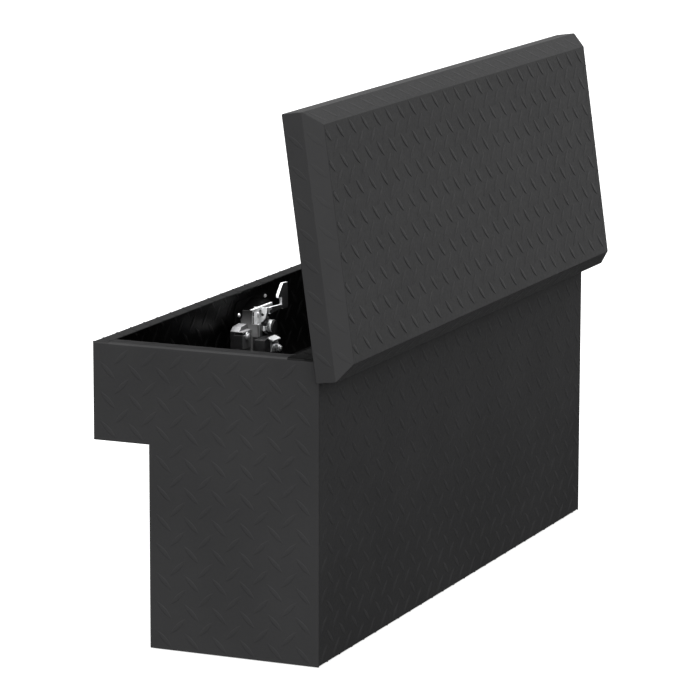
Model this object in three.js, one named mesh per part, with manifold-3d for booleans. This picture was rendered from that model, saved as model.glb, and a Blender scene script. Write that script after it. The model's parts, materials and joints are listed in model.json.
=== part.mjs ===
// Low-side truck tool box: an L-section tread-plate box whose one long lid is hinged on the outboard side.
// Millimetres, +Z up, +Y along the box. The origin is the centre of the narrow bottom face, and the model
// stands as it is used with the lid held open.
import * as THREE from "three";
import { mergeVertices } from "three/addons/utils/BufferGeometryUtils.js";
import Module from "manifold-3d";

const wasm = await Module();
wasm.setup();

// ---------------------------------------------------------------- driving dimensions
const BODY_HEIGHT = 508;
const BODY_LENGTH = 1217;
const TOP_WIDTH = 404.6;
const LEDGE_WIDTH = 100.8; // how far the top overhangs the narrow lower part
const LEDGE_HEIGHT = 165.3; // depth of the wide upper part
const SHEET = 2; // tread plate, without its raised bars
const BEND_RADIUS = 3; // to the middle of the sheet
const GAP = 0.3; // between pieces that touch
const RIM_FLANGE = 27; // inward flange along the latch wall and the ends
const HINGE_FLANGE = 57; // wider stiffening flange along the hinge wall
const HINGE_FLANGE_LIP = 14;
const NOTCHED_FLANGE = 25; // what is left of the hinge flange where the end flanges come in
const STRUT_NOTCH = 78; // length of the notch that the gas strut swings through

const LID_OPEN = THREE.MathUtils.degToRad(82);
const LID_WIDTH = 434.5;
const LID_LENGTH = 1242;
const LID_SKIRT = 35;
const LID_BEVEL_HEIGHT = 25;
const LID_BEVEL_INSET = 24.7;
const LID_HINGE_OVERHANG = 9;
const LID_SKIRT_BOTTOM = 474; // height of the skirt's edge when the lid is shut

const HINGE_OFFSET = 3.2; // knuckle centre, out from the hinge wall
const HINGE_HEIGHT = 477.5;
const KNUCKLE_RADIUS = 3;
const KNUCKLE_BORE = 1.66;
const HINGE_PIN_RADIUS = 1.5;
const KNUCKLE_PAIRS = 10;
const HINGE_LENGTH = 1200;
const LEAF = 1.2;

const DISH_CENTRE_DROP = 76; // below the rim
const DISH_RADIUS = 46;
const DISH_DEPTH = 27;
const DISH_PLATE = { y: 70, up: 51, thickness: 1.5, corner: 14 };
const RIVET_HOLE = 3.4; // radius of the four holes for the dish's rivets

const STRUT_PIVOT = { x: -165, z: 370 };
const STRUT_STUD_FROM_HINGE = { x: -80, z: 26 }; // with the lid shut
const STRUT_Y = 568;

// ---------------------------------------------------------------- derived places
const LATCH_WALL = -TOP_WIDTH + (TOP_WIDTH - LEDGE_WIDTH) / 2; // outer face of the latch wall
const HINGE_WALL = (TOP_WIDTH - LEDGE_WIDTH) / 2; // outer face of the hinge wall
const LOWER_WALL = -HINGE_WALL; // outer face of the narrow part, under the ledge
const LEDGE_BOTTOM = BODY_HEIGHT - LEDGE_HEIGHT;
const HINGE = { x: HINGE_WALL + HINGE_OFFSET, z: HINGE_HEIGHT };
const DISH_Z = BODY_HEIGHT - DISH_CENTRE_DROP;

// ---------------------------------------------------------------- materials
const paint = (color, roughness, metalness) =>
  new THREE.MeshStandardMaterial({ color, roughness, metalness });
const MATTE_BLACK = paint(0x2b2b2b, 0.6, 0.3);
const SATIN_BLACK = paint(0x151515, 0.45, 0.3);
const ZINC = paint(0xa9acae, 0.35, 0.9);
const CHROME = paint(0xd5d7d9, 0.15, 1);
const STEEL = paint(0x7d8083, 0.4, 0.9);
const RUBBER = paint(0x0c0c0c, 0.9, 0);
const FOAM = paint(0xd8cfa8, 1, 0);

// ---------------------------------------------------------------- geometry helpers
// A box between two corners.
function box(x0, x1, y0, y1, z0, z1) {
  const made = new THREE.BoxGeometry(x1 - x0, y1 - y0, z1 - z0);
  return made.translate((x0 + x1) / 2, (y0 + y1) / 2, (z0 + z1) / 2);
}

const ALONG = {
  x: new THREE.Matrix4().makeBasis(
    new THREE.Vector3(0, 1, 0),
    new THREE.Vector3(0, 0, 1),
    new THREE.Vector3(1, 0, 0),
  ),
  y: new THREE.Matrix4().makeBasis(
    new THREE.Vector3(1, 0, 0),
    new THREE.Vector3(0, 0, 1),
    new THREE.Vector3(0, -1, 0),
  ),
  z: new THREE.Matrix4(),
};

// A flat outline swept from one coordinate to another. The outline is drawn in (y, z) for an
// extrusion along x, in (x, z) along y, and in (x, y) along z.
function extrude(shape, axis, from, to, curveSegments = 8) {
  const made = new THREE.ExtrudeGeometry(shape, {
    depth: to - from,
    bevelEnabled: false,
    curveSegments,
  });
  made.applyMatrix4(ALONG[axis]);
  if (axis === "x") made.translate(from, 0, 0);
  if (axis === "y") made.translate(0, to, 0);
  if (axis === "z") made.translate(0, 0, from);
  return made;
}

// A round bar along an axis; at holds the two other coordinates, in x, y, z order.
function rod(axis, radius, from, to, at, sides = 24, endRadius = radius) {
  const made = new THREE.CylinderGeometry(endRadius, radius, to - from, sides);
  const middle = (from + to) / 2;
  if (axis === "x") made.rotateZ(-Math.PI / 2).translate(middle, at[0], at[1]);
  if (axis === "y") made.translate(at[0], middle, at[1]);
  if (axis === "z") made.rotateX(Math.PI / 2).translate(at[0], at[1], middle);
  return made;
}

function roundedRectangle(x0, x1, y0, y1, radius) {
  const shape = new THREE.Shape();
  shape.moveTo(x0 + radius, y0);
  shape.lineTo(x1 - radius, y0);
  shape.absarc(x1 - radius, y0 + radius, radius, -Math.PI / 2, 0);
  shape.lineTo(x1, y1 - radius);
  shape.absarc(x1 - radius, y1 - radius, radius, 0, Math.PI / 2);
  shape.lineTo(x0 + radius, y1);
  shape.absarc(x0 + radius, y1 - radius, radius, Math.PI / 2, Math.PI);
  shape.lineTo(x0, y0 + radius);
  shape.absarc(x0 + radius, y0 + radius, radius, Math.PI, 1.5 * Math.PI);
  return shape;
}

function outline(points) {
  return new THREE.Shape(points.map(([a, b]) => new THREE.Vector2(a, b)));
}

// The section of a folded sheet, from the corners of its middle line.
function bentSheet(corners, thickness = SHEET, radius = BEND_RADIUS, steps = 3) {
  const points = corners.map(([a, b]) => new THREE.Vector2(a, b));
  const samples = [];
  const heading = (i) => points[i + 1].clone().sub(points[i]).normalize();
  const leftOf = (d) => new THREE.Vector2(-d.y, d.x);
  samples.push({ at: points[0], normal: leftOf(heading(0)) });
  for (let i = 1; i < points.length - 1; i++) {
    const before = heading(i - 1);
    const after = heading(i);
    const turn = Math.atan2(before.cross(after), before.dot(after));
    const side = Math.sign(turn);
    const start = points[i].clone().addScaledVector(before, -radius * Math.tan(Math.abs(turn) / 2));
    const centre = start.clone().addScaledVector(leftOf(before), side * radius);
    for (let k = 0; k <= steps; k++) {
      const normal = leftOf(before).rotateAround(new THREE.Vector2(), (turn * k) / steps);
      samples.push({ at: centre.clone().addScaledVector(normal, -side * radius), normal });
    }
  }
  const last = points.length - 1;
  samples.push({ at: points[last], normal: leftOf(heading(last - 1)) });
  const offset = (s, d) => s.at.clone().addScaledVector(s.normal, d);
  const left = samples.map((s) => offset(s, thickness / 2));
  const right = samples.map((s) => offset(s, -thickness / 2));
  return new THREE.Shape([...right, ...left.reverse()]);
}

// A closed block from a stack of level rectangles, each {z, x0, x1, y0, y1}.
function tiers(levels) {
  const corners = [];
  for (const r of levels) {
    corners.push(r.x0, r.y0, r.z, r.x1, r.y0, r.z, r.x1, r.y1, r.z, r.x0, r.y1, r.z);
  }
  const index = [0, 2, 1, 0, 3, 2];
  for (let k = 0; k < levels.length - 1; k++) {
    for (let i = 0; i < 4; i++) {
      const a = 4 * k + i;
      const b = 4 * k + ((i + 1) % 4);
      index.push(a, b, b + 4, a, b + 4, a + 4);
    }
  }
  const t = 4 * (levels.length - 1);
  index.push(t, t + 1, t + 2, t, t + 2, t + 3);
  const made = new THREE.BufferGeometry();
  made.setAttribute("position", new THREE.Float32BufferAttribute(corners, 3));
  return made.setIndex(index);
}

function solid(geometry) {
  const bare = new THREE.BufferGeometry();
  bare.setAttribute("position", geometry.getAttribute("position").clone());
  if (geometry.index) bare.setIndex(geometry.index.clone());
  const merged = mergeVertices(bare, 1e-4);
  return new wasm.Manifold(
    new wasm.Mesh({
      numProp: 3,
      vertProperties: new Float32Array(merged.getAttribute("position").array),
      triVerts: new Uint32Array(merged.index.array),
    }),
  );
}

function geometryOf(manifold) {
  const mesh = manifold.getMesh();
  const made = new THREE.BufferGeometry();
  made.setAttribute("position", new THREE.BufferAttribute(mesh.vertProperties, 3));
  return made.setIndex(new THREE.BufferAttribute(mesh.triVerts, 1));
}

function join(...pieces) {
  return geometryOf(pieces.map(solid).reduce((a, b) => a.add(b)));
}

function cut(piece, ...tools) {
  return geometryOf(tools.map(solid).reduce((a, b) => a.subtract(b), solid(piece)));
}

// ---------------------------------------------------------------- the assembly
const toolBox = new THREE.Group();
toolBox.name = "truck_tool_box";

function add(group, name, geometry, material) {
  const mesh = new THREE.Mesh(geometry, material);
  mesh.name = name;
  group.add(mesh);
  return mesh;
}

// ---------------------------------------------------------------- folded body and its ends
const HALF = BODY_LENGTH / 2;
const HALF_SHEET = SHEET / 2;
const END_FLANGE_RUN = RIM_FLANGE + 2 * GAP; // length of wrap flange that each end flange takes

function bodyWrap() {
  const top = BODY_HEIGHT - HALF_SHEET;
  const section = bentSheet([
    [LATCH_WALL + RIM_FLANGE, top],
    [LATCH_WALL + HALF_SHEET, top],
    [LATCH_WALL + HALF_SHEET, LEDGE_BOTTOM + HALF_SHEET],
    [LOWER_WALL + HALF_SHEET, LEDGE_BOTTOM + HALF_SHEET],
    [LOWER_WALL + HALF_SHEET, HALF_SHEET],
    [HINGE_WALL - HALF_SHEET, HALF_SHEET],
    [HINGE_WALL - HALF_SHEET, top],
    [HINGE_WALL - HINGE_FLANGE + HALF_SHEET, top],
    [HINGE_WALL - HINGE_FLANGE + HALF_SHEET, BODY_HEIGHT - HINGE_FLANGE_LIP],
  ]);
  const reach = HALF - SHEET - GAP;
  const notch = (y0, y1) =>
    box(
      HINGE_WALL - HINGE_FLANGE - 1,
      HINGE_WALL - NOTCHED_FLANGE,
      y0,
      y1,
      BODY_HEIGHT - HINGE_FLANGE_LIP - 1,
      BODY_HEIGHT + 1,
    );
  return cut(
    extrude(section, "y", -reach, reach),
    notch(-HALF, -HALF + END_FLANGE_RUN),
    notch(HALF - STRUT_NOTCH, HALF),
    rod("x", DISH_RADIUS + 1.6, LATCH_WALL - 5, LATCH_WALL + 5, [0, DISH_Z], 48),
    ...rivetHoles(LATCH_WALL - 5, LATCH_WALL + 5),
  );
}

// An end: an L of sheet closing the section, with a flange folded in along its top edge.
function endPanel(side) {
  const outer = side * HALF;
  const inner = side * (HALF - SHEET);
  const face = outline([
    [LATCH_WALL, LEDGE_BOTTOM],
    [LOWER_WALL, LEDGE_BOTTOM],
    [LOWER_WALL, 0],
    [HINGE_WALL, 0],
    [HINGE_WALL, BODY_HEIGHT],
    [LATCH_WALL, BODY_HEIGHT],
  ]);
  const plate = extrude(face, "y", Math.min(outer, inner), Math.max(outer, inner));
  const left = LATCH_WALL + RIM_FLANGE + 2 * GAP;
  const right = HINGE_WALL - NOTCHED_FLANGE - 2 * GAP;
  const middle = side * (HALF - HALF_SHEET);
  const foldStart = BODY_HEIGHT - 3 * BEND_RADIUS;
  const fold = bentSheet([
    [middle, foldStart],
    [middle, BODY_HEIGHT - HALF_SHEET],
    [side * (HALF - RIM_FLANGE), BODY_HEIGHT - HALF_SHEET],
  ]);
  const room = box(
    left,
    right,
    Math.min(outer, inner) - 1,
    Math.max(outer, inner) + 1,
    foldStart,
    BODY_HEIGHT + 1,
  );
  return join(cut(plate, room), extrude(fold, "x", left, right));
}

function dishRivetPlaces() {
  return [
    [-55.4, BODY_HEIGHT - 50.5],
    [55.4, BODY_HEIGHT - 33.5],
    [-55.4, BODY_HEIGHT - 109],
    [55.4, BODY_HEIGHT - 118.5],
  ];
}

function rivetHoles(x0, x1) {
  return dishRivetPlaces().map((at) => rod("x", RIVET_HOLE, x0, x1, at, 12));
}

add(toolBox, "body_wrap", bodyWrap(), MATTE_BLACK);
add(toolBox, "end_panel_near", endPanel(-1), MATTE_BLACK);
add(toolBox, "end_panel_far", endPanel(1), MATTE_BLACK);

// ---------------------------------------------------------------- piano hinge
// Knuckles alternate between the two leaves, with running gaps between them.
function knuckles(first, leafX) {
  const pitch = HINGE_LENGTH / (2 * KNUCKLE_PAIRS);
  const bars = [];
  for (let k = first; k < 2 * KNUCKLE_PAIRS; k += 2) {
    const y0 = -HINGE_LENGTH / 2 + k * pitch + GAP;
    const y1 = y0 + pitch - 2 * GAP;
    bars.push(rod("y", KNUCKLE_RADIUS, y0, y1, [HINGE.x, HINGE.z], 12));
    bars.push(box(leafX, leafX + LEAF, y0, y1, HINGE.z, HINGE.z + 6));
  }
  return bars;
}

function hingeLeaf(first, leafX, top) {
  const half = HINGE_LENGTH / 2;
  const leaf = box(leafX, leafX + LEAF, -half, half, HINGE.z + KNUCKLE_RADIUS + 1, top);
  const bore = rod("y", KNUCKLE_BORE, -half - 1, half + 1, [HINGE.x, HINGE.z], 12);
  return cut(join(leaf, ...knuckles(first, leafX)), bore);
}

const BODY_LEAF_X = HINGE_WALL + GAP;
const LID_LEAF_X = HINGE_WALL + LID_HINGE_OVERHANG - SHEET - GAP - LEAF;
const hingePin = rod(
  "y",
  HINGE_PIN_RADIUS,
  -HINGE_LENGTH / 2,
  HINGE_LENGTH / 2,
  [HINGE.x, HINGE.z],
  12,
);
add(toolBox, "hinge_body_leaf", hingeLeaf(0, BODY_LEAF_X, HINGE.z + 28), STEEL);
add(toolBox, "hinge_pin", hingePin, STEEL);

// ---------------------------------------------------------------- lid, drawn shut and swung open
const lid = new THREE.Group();
lid.position.set(HINGE.x, 0, HINGE.z);
lid.rotation.y = LID_OPEN;
toolBox.add(lid);

// Moves a piece drawn in place on the shut lid into the lid's own frame.
function addToLid(name, geometry, material) {
  return add(lid, name, geometry.translate(-HINGE.x, 0, -HINGE.z), material);
}

const LID_BACK = HINGE_WALL + LID_HINGE_OVERHANG;
const LID_FRONT = LID_BACK - LID_WIDTH;
const LID_BEND = LID_SKIRT_BOTTOM + LID_SKIRT;
const LID_TOP = LID_BEND + LID_BEVEL_HEIGHT;
const PAN_BOTTOM = BODY_HEIGHT + 13;
const PAN_THICKNESS = 1.2;

function lidLevel(z, inset) {
  return {
    z,
    x0: LID_FRONT + inset,
    x1: LID_BACK - inset,
    y0: -LID_LENGTH / 2 + inset,
    y1: LID_LENGTH / 2 - inset,
  };
}

function lidShell() {
  const slope = Math.hypot(LID_BEVEL_HEIGHT, LID_BEVEL_INSET);
  const rise = (SHEET * (slope - LID_BEVEL_INSET)) / LID_BEVEL_HEIGHT; // keeps the bevel 2 mm thick
  const outside = tiers([
    lidLevel(LID_SKIRT_BOTTOM, 0),
    lidLevel(LID_BEND, 0),
    lidLevel(LID_TOP, LID_BEVEL_INSET),
  ]);
  const inside = tiers([
    lidLevel(LID_SKIRT_BOTTOM - 1, SHEET),
    lidLevel(LID_BEND - rise, SHEET),
    lidLevel(LID_TOP - SHEET, LID_BEVEL_INSET + rise),
  ]);
  return cut(outside, inside);
}

// The inner skin closes the foam-filled lid; the foam sits between it and the shell.
const lidPan = tiers([lidLevel(PAN_BOTTOM, 17), lidLevel(PAN_BOTTOM + PAN_THICKNESS, 17)]);
const lidFoam = tiers([
  lidLevel(PAN_BOTTOM + PAN_THICKNESS + GAP, 18.5),
  lidLevel(LID_TOP - SHEET - GAP, 28),
]);

function lidSeal() {
  const height = [BODY_HEIGHT + 2.4, PAN_BOTTOM - GAP];
  const x0 = LATCH_WALL + 7;
  const x1 = HINGE_WALL - 7;
  const y = HALF - 7;
  const width = 12;
  return cut(
    box(x0, x1, -y, y, ...height),
    box(x0 + width, x1 - width, -y + width, y - width, height[0] - 1, height[1] + 1),
  );
}

// A hat-section stiffener across the lid's inner skin.
function lidStiffener(y) {
  const top = PAN_BOTTOM - GAP - 0.6;
  const section = bentSheet(
    [
      [y - 34, top],
      [y - 20, top],
      [y - 16, top - 12],
      [y + 16, top - 12],
      [y + 20, top],
      [y + 34, top],
    ],
    1.2,
    2,
    2,
  );
  return extrude(section, "x", LATCH_WALL + 62, HINGE_WALL - HINGE_FLANGE - 8);
}

addToLid("lid_outer_shell", lidShell(), MATTE_BLACK);
addToLid("lid_inner_pan", lidPan, SATIN_BLACK);
addToLid("lid_foam_core", lidFoam, FOAM);
addToLid("lid_seal", lidSeal(), RUBBER);
addToLid("lid_stiffener_near", lidStiffener(-300), SATIN_BLACK);
addToLid("lid_stiffener_far", lidStiffener(300), SATIN_BLACK);
addToLid("hinge_lid_leaf", hingeLeaf(1, LID_LEAF_X, HINGE.z + 28), STEEL);

// ---------------------------------------------------------------- striker on the lid
const inward = (distance) => LATCH_WALL + distance; // x at a distance in from the latch wall
const below = (distance) => BODY_HEIGHT - distance; // z at a distance under the rim
const STRIKER_Y = 24;
const STRIKER_RADIUS = 3.5;
const STRIKER_BAR_Z = below(28.5);
const STRIKER_LEGS = [inward(32.5), inward(50)];

function strikerLoop() {
  const top = PAN_BOTTOM - 3.4;
  const legs = STRIKER_LEGS.map((x) =>
    rod("z", STRIKER_RADIUS, STRIKER_BAR_Z, top, [x, STRIKER_Y], 16),
  );
  const bar = rod("x", STRIKER_RADIUS, ...STRIKER_LEGS, [STRIKER_Y, STRIKER_BAR_Z], 16);
  const elbows = STRIKER_LEGS.map((x) =>
    new THREE.SphereGeometry(STRIKER_RADIUS, 16, 8).translate(x, STRIKER_Y, STRIKER_BAR_Z),
  );
  return join(bar, ...legs, ...elbows);
}

const strikerPlate = cut(
  extrude(
    roundedRectangle(inward(20.5), inward(68), STRIKER_Y - 18, STRIKER_Y + 18, 5),
    "z",
    PAN_BOTTOM - 3,
    PAN_BOTTOM - GAP,
  ),
  rod("z", 2.6, PAN_BOTTOM - 4, PAN_BOTTOM + 1, [inward(60), STRIKER_Y - 11], 12),
  rod("z", 2.6, PAN_BOTTOM - 4, PAN_BOTTOM + 1, [inward(60), STRIKER_Y + 11], 12),
);
addToLid("striker_plate", strikerPlate, ZINC);
addToLid("striker_loop", strikerLoop(), ZINC);
[-11, 11].forEach((dy, i) => {
  const at = [inward(60), STRIKER_Y + dy];
  const screw = join(
    rod("z", 2.3, PAN_BOTTOM - 4, PAN_BOTTOM - GAP, at, 12),
    rod("z", 4.5, PAN_BOTTOM - 6, PAN_BOTTOM - 3 - GAP, at, 12),
  );
  addToLid("striker_screw_" + (i + 1), screw, ZINC);
});

// ---------------------------------------------------------------- handle dish in the latch wall
const DISH_FRONT = LATCH_WALL - DISH_PLATE.thickness - GAP;

function handleDish() {
  const flange = extrude(
    roundedRectangle(
      -DISH_PLATE.y,
      DISH_PLATE.y,
      DISH_Z - DISH_PLATE.up,
      DISH_Z + DISH_PLATE.up,
      DISH_PLATE.corner,
    ),
    "x",
    DISH_FRONT,
    LATCH_WALL - GAP,
  );
  const at = [0, DISH_Z];
  const wall = DISH_PLATE.thickness;
  const bowl = rod("x", DISH_RADIUS, LATCH_WALL - 1, inward(DISH_DEPTH), at, 40);
  const hollow = rod("x", DISH_RADIUS - wall, DISH_FRONT - 1, inward(DISH_DEPTH - wall), at, 40);
  const spindleHole = rod("x", 7.2, inward(10), inward(DISH_DEPTH + 5), at, 24);
  return cut(join(flange, bowl), hollow, spindleHole, ...rivetHoles(DISH_FRONT - 1, LATCH_WALL + 1));
}

// The plate inside the wall that the dish's four rivets clamp.
function backingPlate() {
  const x0 = inward(SHEET + GAP);
  const x1 = x0 + 1.7;
  const plate = extrude(
    roundedRectangle(-DISH_PLATE.y, DISH_PLATE.y, DISH_Z - 49, DISH_Z + 49, DISH_PLATE.corner),
    "x",
    x0,
    x1,
  );
  const opening = rod("x", DISH_RADIUS + 1, x0 - 1, x1 + 1, [0, DISH_Z], 40);
  return cut(plate, opening, ...rivetHoles(x0 - 1, x1 + 1));
}

// A rivet through the dish, the wall and the plate, with a flat head outside and a set tail inside.
function dishRivet([y, z]) {
  const head = rod("x", 4.6, DISH_FRONT - GAP - 1.8, DISH_FRONT - GAP, [y, z], 16, 5.6);
  const shank = rod("x", 3, DISH_FRONT - 1, inward(6), [y, z], 12);
  const tail = rod("x", 4, inward(4.3), inward(5.6), [y, z], 12, 3.4);
  const crown = rod("x", 3.4, inward(5.6), inward(6.8), [y, z], 12, 1.8);
  return join(head, shank, tail, crown);
}

add(toolBox, "handle_dish", handleDish(), SATIN_BLACK);
add(toolBox, "dish_backing_plate", backingPlate(), SATIN_BLACK);
dishRivetPlaces().forEach((at, i) => add(toolBox, "dish_rivet_" + (i + 1), dishRivet(at), CHROME));

// ---------------------------------------------------------------- folding T-handle and its spindle
const SPINDLE_AXIS = [0, DISH_Z];
const SPINDLE_HEAD = { from: 5, to: 22, radius: 12 };
const SHAFT_END = 49;
const CAM = { from: 47, to: 50, radius: 10.5, lug: 14, halfWidth: 4 };
const FOLD_PIVOT = { x: inward(13), z: DISH_Z + 8.6, bore: 1.9, pin: 1.75 };
const ARM = { inner: 12.8, outer: 18.5 }; // of each arm, either side of the spindle

function spindle() {
  const { from, to, radius } = SPINDLE_HEAD;
  const head = rod("x", radius, inward(from), inward(to), SPINDLE_AXIS, 24);
  const shaft = rod("x", 6.5, inward(to - 1), inward(SHAFT_END), SPINDLE_AXIS, 20);
  const cam = rod("x", CAM.radius, inward(CAM.from), inward(CAM.to), SPINDLE_AXIS, 24);
  const lug = box(
    inward(CAM.from),
    inward(CAM.to),
    -CAM.halfWidth,
    CAM.halfWidth,
    DISH_Z - CAM.lug,
    DISH_Z,
  );
  const plugBore = rod("x", 5.4, inward(0), inward(20), SPINDLE_AXIS, 20);
  const pivotBore = rod("y", FOLD_PIVOT.bore, -20, 20, [FOLD_PIVOT.x, FOLD_PIVOT.z], 12);
  return cut(join(head, shaft, cam, lug), plugBore, pivotBore);
}

// The T-handle hangs from two arms beside the spindle head and folds flat into the dish.
function tHandle() {
  const armOutline = roundedRectangle(inward(9), inward(17), DISH_Z - 27, FOLD_PIVOT.z + 4, 3.9);
  const gripOutline = roundedRectangle(-30, 30, DISH_Z - 29, DISH_Z - 18, 5);
  const arm = (y0, y1) => extrude(armOutline, "y", y0, y1, 4);
  const grip = extrude(gripOutline, "x", inward(7), inward(18), 4);
  const pinBore = rod("y", FOLD_PIVOT.bore, -25, 25, [FOLD_PIVOT.x, FOLD_PIVOT.z], 12);
  return cut(join(grip, arm(-ARM.outer, -ARM.inner), arm(ARM.inner, ARM.outer)), pinBore);
}

const foldPin = rod("y", FOLD_PIVOT.pin, -19, 19, [FOLD_PIVOT.x, FOLD_PIVOT.z], 12);

function lockPlug() {
  const face = rod("x", 5.2, inward(4.2), inward(19), SPINDLE_AXIS, 20);
  const keyway = box(inward(3), inward(10), -0.7, 0.7, DISH_Z - 3.4, DISH_Z + 3.4);
  return cut(face, keyway);
}

function spindleHousing() {
  const start = DISH_DEPTH + 5;
  const barrel = rod("x", 11, inward(start), inward(46), SPINDLE_AXIS, 28);
  const nut = rod("x", 16, inward(start), inward(start + 5), SPINDLE_AXIS, 6);
  const bore = rod("x", 6.9, inward(DISH_DEPTH), inward(47), SPINDLE_AXIS, 20);
  return cut(join(barrel, nut), bore);
}

add(toolBox, "spindle", spindle(), SATIN_BLACK);
add(toolBox, "t_handle", tHandle(), CHROME);
add(toolBox, "handle_fold_pin", foldPin, STEEL);
add(toolBox, "lock_plug", lockPlug(), CHROME);
add(toolBox, "spindle_housing", spindleHousing(), CHROME);

// ---------------------------------------------------------------- latch mechanism behind the dish
const FRAME_X = DISH_DEPTH + 1.5; // in from the wall, just behind the dish
const FRAME_SHEET = 2.5;
const FRAME_FRONT = -91.5; // y of the front plate's outer face

// The slotted ear is a quarter of an ellipse under the rail, with its edge folded back.
const EAR = { front: -49.5, left: 31.6, wide: 25, top: 38, tall: 27.8, fold: 8.5, thickness: 1.8 };

function earOutline(inset) {
  const wide = EAR.wide - inset;
  const tall = EAR.tall - inset;
  const corner = [inward(EAR.left), below(EAR.top)];
  const shape = new THREE.Shape();
  shape.moveTo(corner[0], below(34.5));
  shape.lineTo(corner[0], corner[1] - tall);
  shape.absellipse(corner[0], corner[1], wide, tall, -Math.PI / 2, 0);
  shape.lineTo(corner[0] + wide, below(34.5));
  return shape;
}

// One folded bracket: a base on the dish, a stepped front, a top rail and the ear.
function latchFrame() {
  const x0 = inward(FRAME_X);
  const baseOutline = roundedRectangle(-91, -14, below(118), below(52), 3);
  const base = extrude(baseOutline, "x", x0, x0 + FRAME_SHEET, 3);
  const front = outline([
    [inward(25), below(80)],
    [inward(44.4), below(80)],
    [inward(44.4), below(112)],
    [inward(47.6), below(112)],
    [inward(47.6), below(80)],
    [inward(58), below(80)],
    [inward(58), below(57.5)],
    [inward(45), below(57.5)],
    [inward(45), below(34)],
    [x0, below(34)],
    [x0, below(44)],
    [inward(25), below(50)],
  ]);
  const frontPlate = extrude(front, "y", FRAME_FRONT, FRAME_FRONT + FRAME_SHEET);
  const cheek = box(inward(43), inward(45), -90, -83.5, below(57.5), below(34));
  const lowerCheek = box(inward(56), inward(58), -90, -82, below(80), below(57.5));
  const rail = box(inward(41.5), inward(46), FRAME_FRONT, -3, below(37.5), below(32.8));
  const earInside = EAR.front + EAR.thickness;
  const earPlate = extrude(earOutline(0), "y", EAR.front, EAR.front + EAR.fold, 10);
  const earHollow = extrude(earOutline(EAR.thickness), "y", earInside, 0, 10);
  const slotOutline = roundedRectangle(inward(43.5), inward(50.5), below(50.3), below(44.7), 2.6);
  const slot = extrude(slotOutline, "y", EAR.front - 1, 0, 4);
  const earLeft = inward(EAR.left);
  const beside = box(earLeft - 1, earLeft + 1, earInside, 0, below(70), below(38.5));
  const ear = cut(earPlate, earHollow, slot, beside);
  const lip = box(inward(54.9), inward(56.6), EAR.front, -28, below(40.5), below(36));
  const strap = box(x0, inward(44), EAR.front, EAR.front + FRAME_SHEET, below(65), below(53));
  const shaftHole = rod("x", 14.4, x0 - 1, x0 + 4, SPINDLE_AXIS, 24);
  return cut(join(base, frontPlate, cheek, lowerCheek, rail, ear, lip, strap), shaftHole);
}

const HOOK_PIVOT = { y: -2, z: below(48) };
const HOOK_HUB = 6.5;
const PIN = { radius: 2.5, bore: 2.6, end: inward(45) }; // the hook's and the pawl's
const HOOK_X = { from: inward(38.7), to: inward(43.2) };

// The hook stands open beside the striker's path and swings over the bar to hold the lid.
function latchHook() {
  const shape = new THREE.Shape();
  shape.absarc(HOOK_PIVOT.y, HOOK_PIVOT.z, HOOK_HUB, Math.PI / 2, 1.72 * Math.PI);
  shape.lineTo(44, below(50.5));
  shape.lineTo(48, below(53.5));
  shape.lineTo(70, below(53.5));
  shape.lineTo(68, below(7.5));
  shape.lineTo(47, below(6.5));
  shape.lineTo(28.5, below(26));
  shape.lineTo(29, below(30.5));
  shape.lineTo(43, below(30.5));
  shape.lineTo(43, below(44.5));
  const at = [HOOK_PIVOT.y, HOOK_PIVOT.z];
  const bore = rod("x", PIN.bore, HOOK_X.from - 1, HOOK_X.to + 1, at, 16);
  return cut(extrude(shape, "x", HOOK_X.from, HOOK_X.to, 10), bore);
}

function hookPin() {
  const at = [HOOK_PIVOT.y, HOOK_PIVOT.z];
  const shank = rod("x", PIN.radius, inward(DISH_DEPTH + GAP), PIN.end, at, 16);
  const head = rod("x", 4.5, inward(43.6), inward(45.6), at, 16);
  const collar = rod("x", 4.5, inward(DISH_DEPTH + GAP), inward(38.3), at, 16);
  return join(shank, head, collar);
}

// The hook's return spring, wound round the pin's collar.
function hookSpring() {
  const at = [HOOK_PIVOT.y, HOOK_PIVOT.z];
  const coil = rod("x", 7, inward(32), inward(38), at, 20);
  const hole = rod("x", 4.9, inward(31), inward(39), at, 20);
  return cut(coil, hole);
}

const PAWL_PIVOT = { y: -28, z: below(66) };

function pawl() {
  const shape = outline([
    [-36, below(70)],
    [-22, below(73)],
    [-10, below(62.5)],
    [-12, below(57)],
    [-26, below(59)],
    [-35, below(61)],
  ]);
  const at = [PAWL_PIVOT.y, PAWL_PIVOT.z];
  const bore = rod("x", PIN.bore, HOOK_X.from - 1, HOOK_X.to + 1, at, 12);
  return cut(extrude(shape, "x", HOOK_X.from, HOOK_X.to), bore);
}

const pawlPin = rod(
  "x",
  PIN.radius,
  inward(FRAME_X + FRAME_SHEET + GAP),
  PIN.end,
  [PAWL_PIVOT.y, PAWL_PIVOT.z],
  12,
);

const LEVER_PIVOT = { y: 0, z: below(115) };

// The release lever rocks on its bolt when the cam's lug pushes its bent tab.
function releaseLever() {
  const x0 = inward(51.2);
  const web = extrude(
    outline([
      [-24, below(92)],
      [-24, below(118)],
      [8, below(123)],
      [8, below(108)],
      [-5, below(92)],
    ]),
    "x",
    x0,
    x0 + 2,
  );
  const tab = extrude(
    outline([
      [x0, below(93)],
      [x0, below(90.5)],
      [x0 + 11.5, below(95)],
      [x0 + 11.5, below(97.5)],
    ]),
    "y",
    -35,
    -5,
  );
  const leg = box(x0, x0 + 3.3, -24, -21.5, below(118), below(92.6));
  const bore = rod("x", 4.1, inward(50), inward(60), [LEVER_PIVOT.y, LEVER_PIVOT.z], 16);
  return cut(join(web, tab, leg), bore);
}

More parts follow.
